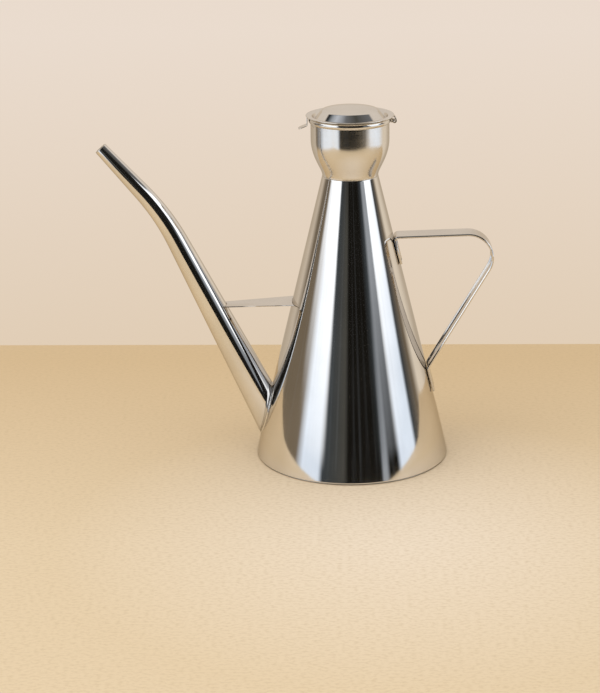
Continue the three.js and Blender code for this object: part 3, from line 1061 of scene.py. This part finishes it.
# What stands round the pourer for the steel to mirror, from the floor up: degrees to the camera's
# right, and the colour there
ROOM_FLOOR = (
    (-122, WALL), (-114, SHADE), (-98, SLATE), (-82, SILL), (-36, SILL), (-29, DARK), (44, DARK),
    (60, SILL), (94, SILL), (112, SIDE_WALL), (128, SIDE_WALL), (146, WALL),
)
ROOM_LOW = (
    (-130, WALL), (-112, SHADE), (-73, SHADE), (-62, WINDOW_LOW), (-41, WINDOW_LOW), (-36, DUSK),
    (-10, SMOKE), (-5, DARK), (35, DARK), (38, SLATE), (42, SLATE), (46, DARK), (57, DARK),
    (62, WINDOW_LOW), (83, WINDOW_LOW), (88, DUSK), (104, SHADE), (116, SIDE_WALL),
    (128, SIDE_WALL), (146, WALL),
)
ROOM_HIGH = (
    (-180, UPPER_WALL), (-154, WALL), (-116, WALL), (-106, DUSK), (-86, SHADE), (-79, WINDOW),
    (-37, WINDOW), (-33, DUSK), (-10, SMOKE), (-5, DARK), (27, DARK), (38, DUSK), (45, SLATE),
    (55, SLATE), (58, WINDOW), (86, WINDOW), (89, DUSK), (102, DUSK), (108, SIDE_WALL),
    (124, SIDE_WALL), (154, WALL), (180, UPPER_WALL),
)
ROOM_UPPER = (
    (-108, UPPER_WALL), (-96, SHADE), (-86, WINDOW), (-38, WINDOW), (-33, DARK), (50, DARK),
    (54, WINDOW), (96, WINDOW), (101, SHADE), (108, UPPER_WALL),
)
ROOM_TOP = (
    (-116, UPPER_WALL), (-111, DARK), (-104, DUSK), (-92, SLATE), (-74, SCRIM_LIGHT), (-25, SCRIM),
    (40, SMOKE), (103, SCRIM), (109, UPPER_WALL),
)
ROOM = (ROOM_FLOOR, ROOM_LOW, ROOM_HIGH, ROOM_UPPER, ROOM_TOP)

# Heights between which one view of the room turns into the next, and the wall's lower colour into
# its upper one
ROOM_STEPS = ((-0.16, -0.10), (0.03, 0.17), (0.22, 0.27), (0.58, 0.63))
WALL_STEP = (-0.32, -0.16)

# Upright streaks over the room
STREAKS = (90, 3, 1)
STREAK_SHARE = 0.09
STREAK_FADE = (0.5, 0.75)

# The table's surface
TABLE_ROUGHNESS = 0.7
TABLE_GLOSS = 0.2
# Depths between which the painted light on the table turns from the front colour to the back colour
TABLE_LIGHT_FADE = (-120 * MM, 150 * MM)
# A painted pool of light on the table in front of the pourer: its middle, the distances over which
# it fades out, and its share
PAINTED_POOL_MIDDLE = (20 * MM, -110 * MM, 0)
PAINTED_POOL_FADE = (20 * MM, 160 * MM)
PAINTED_POOL_SHARE = 0.7
GRAIN = (420, 700, 400)
GRAIN_FADE = (0.45, 0.75)
GRAIN_SHARE = 0.45
GRAIN_TONE = 0.86

# The lamp in metres, and the camera's sensor in millimetres
LAMP_SIZE = (1.6, 1.2)
LAMP_PLACE = (-0.3, -0.4, 1.3)
LAMP_TURN = (math.radians(-17), math.radians(-13), 0)
SENSOR_WIDTH = 36


def ramp(tree, source, bands):
    """A colour ramp from bands of degrees and colours"""
    node = add(tree, "ValToRGB", {"Fac": source})
    stops = node.color_ramp.elements
    while len(stops) < len(bands):
        stops.new(0.5)
    for stop, (degrees, tone) in zip(stops, bands):
        stop.position = (degrees + 180) / 360
        stop.color = (*tone, 1.0)
    return node.outputs["Color"]


def studio(stage):
    """A pale wall for the camera, the room for the steel to mirror, and even light for the rest"""
    world = bpy.data.worlds.new("studio")
    bpy.context.scene.world = world
    world.use_nodes = True
    tree = world.node_tree
    tree.nodes.clear()
    facing = add(tree, "TexCoord").outputs["Generated"]
    right, back, height = add(tree, "SeparateXYZ", {"Vector": facing}).outputs
    azimuth = maths(tree, "ARCTAN2", right, maths(tree, "MULTIPLY", back, -1.0))
    around = ranged(tree, azimuth, 0.0, 1.0, -math.pi, math.pi)
    room, *upper = [ramp(tree, around, bands) for bands in ROOM]
    for view, step in zip(upper, ROOM_STEPS):
        room = mixed(tree, ranged(tree, height, 0.0, 1.0, *step), room, view)
    corner = add(tree, "CombineXYZ", {"X": around, "Y": height}).outputs["Vector"]
    streaks = noise(tree, corner, STREAKS, detail=3)
    room = mixed(tree, ranged(tree, streaks, 0.0, STREAK_SHARE, *STREAK_FADE), room, SLATE)
    rise = ranged(tree, height, 0.0, 1.0, *WALL_STEP)
    wall = mixed(tree, rise, stage.wall_low, stage.wall_top)
    rays = add(tree, "LightPath").outputs
    seen = mixed(tree, rays["Is Camera Ray"], room, wall)
    shown = maths(tree, "MAXIMUM", rays["Is Camera Ray"], rays["Is Glossy Ray"])
    light = (stage.room_light,) * 3
    background = add(tree, "Background", {"Color": mixed(tree, shown, light, seen)})
    add(tree, "OutputWorld", {"Surface": background.outputs["Background"]})


def table_finish(stage):
    """Pale tan board with a fine grain; painted light makes it lighter towards the camera, with a
    painted pool of light in front of the pourer
    """
    material, tree, shader = fresh("table_board")
    place = add(tree, "TexCoord").outputs["Object"]
    depth = add(tree, "SeparateXYZ", {"Vector": place}).outputs["Y"]
    # Painted light: the table is darker at its back and lighter towards the camera
    lit_nearness = ranged(tree, depth, 1.0, 0.0, *TABLE_LIGHT_FADE)
    tone = mixed(tree, lit_nearness, stage.shaded_table_back, stage.lit_table_front)
    # A painted pool of light on the table in front of the pourer
    reach = add(tree, "VectorMath", {0: place, 1: PAINTED_POOL_MIDDLE}, operation="DISTANCE")
    painted_pool = ranged(tree, reach.outputs["Value"], PAINTED_POOL_SHARE, 0.0, *PAINTED_POOL_FADE)
    tone = mixed(tree, painted_pool, tone, stage.table_painted_pool)
    grain = noise(tree, place, GRAIN, detail=6)
    dark = [part * GRAIN_TONE for part in stage.shaded_table_back]
    feed(tree, shader, {
        "Base Color": mixed(tree, ranged(tree, grain, 0.0, GRAIN_SHARE, *GRAIN_FADE), tone, dark),
        "Roughness": TABLE_ROUGHNESS,
        "Specular IOR Level": TABLE_GLOSS,
    })
    return material


class PourerStage(bpy.types.Operator):
    """Set the table, the studio light and the camera"""

    bl_idname = "pourer.stage"
    bl_label = "Stage"

    def execute(self, context):
        stage = context.scene.pourer_stage
        context.scene.view_settings.view_transform = "Standard"
        studio(stage)
        self.table(stage)
        self.lamp(stage)
        context.scene.camera = self.camera(stage)
        return {"FINISHED"}

    def table(self, stage):
        bm = bmesh.new()
        bmesh.ops.create_cube(bm, size=1.0)
        size = (stage.table_width, stage.table_depth, stage.table_board)
        bmesh.ops.scale(bm, verts=bm.verts, vec=size)
        back = stage.table_edge - stage.table_depth / 2
        middle = Vector((stage.table_shift, back, -stage.table_board / 2))
        bmesh.ops.translate(bm, verts=bm.verts, vec=middle)
        turn = Matrix.Rotation(stage.table_turn, 3, "Z")
        bmesh.ops.rotate(bm, verts=bm.verts, cent=(0, 0, 0), matrix=turn)
        placed(bm, "table", table_finish(stage))

    def lamp(self, stage):
        data = bpy.data.lights.new("soft_lamp", "AREA")
        data.energy = stage.lamp_power
        data.shape = "RECTANGLE"
        data.size, data.size_y = LAMP_SIZE
        lamp = linked("soft_lamp", data)
        lamp.location = LAMP_PLACE
        lamp.rotation_euler = LAMP_TURN
        lamp.visible_camera = False
        lamp.visible_glossy = False

    def camera(self, stage):
        data = bpy.data.cameras.new("camera")
        data.sensor_width = SENSOR_WIDTH
        data.lens = stage.camera_lens / MM
        camera = linked("camera", data)
        yaw, pitch = stage.camera_yaw, stage.camera_pitch
        level = math.cos(pitch)
        forward = Vector((math.sin(yaw) * level, math.cos(yaw) * level, -math.sin(pitch)))
        look = forward.to_track_quat("-Z", "Y").to_matrix()
        roll = Matrix.Rotation(stage.camera_roll, 3, "Z")
        place = Matrix.Translation((0, -stage.camera_back, stage.camera_height))
        camera.matrix_world = place @ (look @ roll).to_4x4()
        return camera


class PourerPanel(bpy.types.Panel):
    """Lists the pieces and settings of the pourer"""

    bl_idname = "VIEW3D_PT_pourer"
    bl_label = "Oil Pourer"
    bl_space_type = "VIEW_3D"
    bl_region_type = "UI"
    bl_category = "Oil Pourer"

    def draw(self, context):
        for operator in OPERATORS:
            self.layout.operator(operator.bl_idname)
        for name, group in SETTINGS.items():
            column = self.layout.column()
            for key in group.__annotations__:
                column.prop(getattr(context.scene, name), key)


SETTINGS = {
    "pourer_vessel": VesselSizes,
    "pourer_lid": LidSizes,
    "pourer_spout": SpoutSizes,
    "pourer_handle": HandleSizes,
    "pourer_finish": SteelFinish,
    "pourer_stage": StageSettings,
}
OPERATORS = (
    PourerStage,
    PourerBaseDisc,
    PourerConeBody,
    PourerNeckCup,
    PourerLid,
    PourerHingeStaple,
    PourerSpout,
    PourerSpoutBrace,
    PourerHandleStrap,
)


def register():
    """Make the settings, operators and panel known"""
    for name, group in SETTINGS.items():
        bpy.utils.register_class(group)
        setattr(bpy.types.Scene, name, PointerProperty(type=group))
    for operator in OPERATORS:
        bpy.utils.register_class(operator)
    bpy.utils.register_class(PourerPanel)


def unregister():
    """Take the settings, operators and panel away again"""
    bpy.utils.unregister_class(PourerPanel)
    for operator in reversed(OPERATORS):
        bpy.utils.unregister_class(operator)
    for name, group in reversed(SETTINGS.items()):
        delattr(bpy.types.Scene, name)
        bpy.utils.unregister_class(group)


def main():
    """Build the stage and every piece"""
    register()
    bpy.ops.pourer.stage()
    bpy.ops.pourer.base_disc()
    bpy.ops.pourer.cone_body()
    bpy.ops.pourer.neck_cup()
    bpy.ops.pourer.lid()
    bpy.ops.pourer.hinge_staple()
    bpy.ops.pourer.spout()
    bpy.ops.pourer.spout_brace()
    bpy.ops.pourer.handle_strap()


if __name__ == "__main__":
    main()
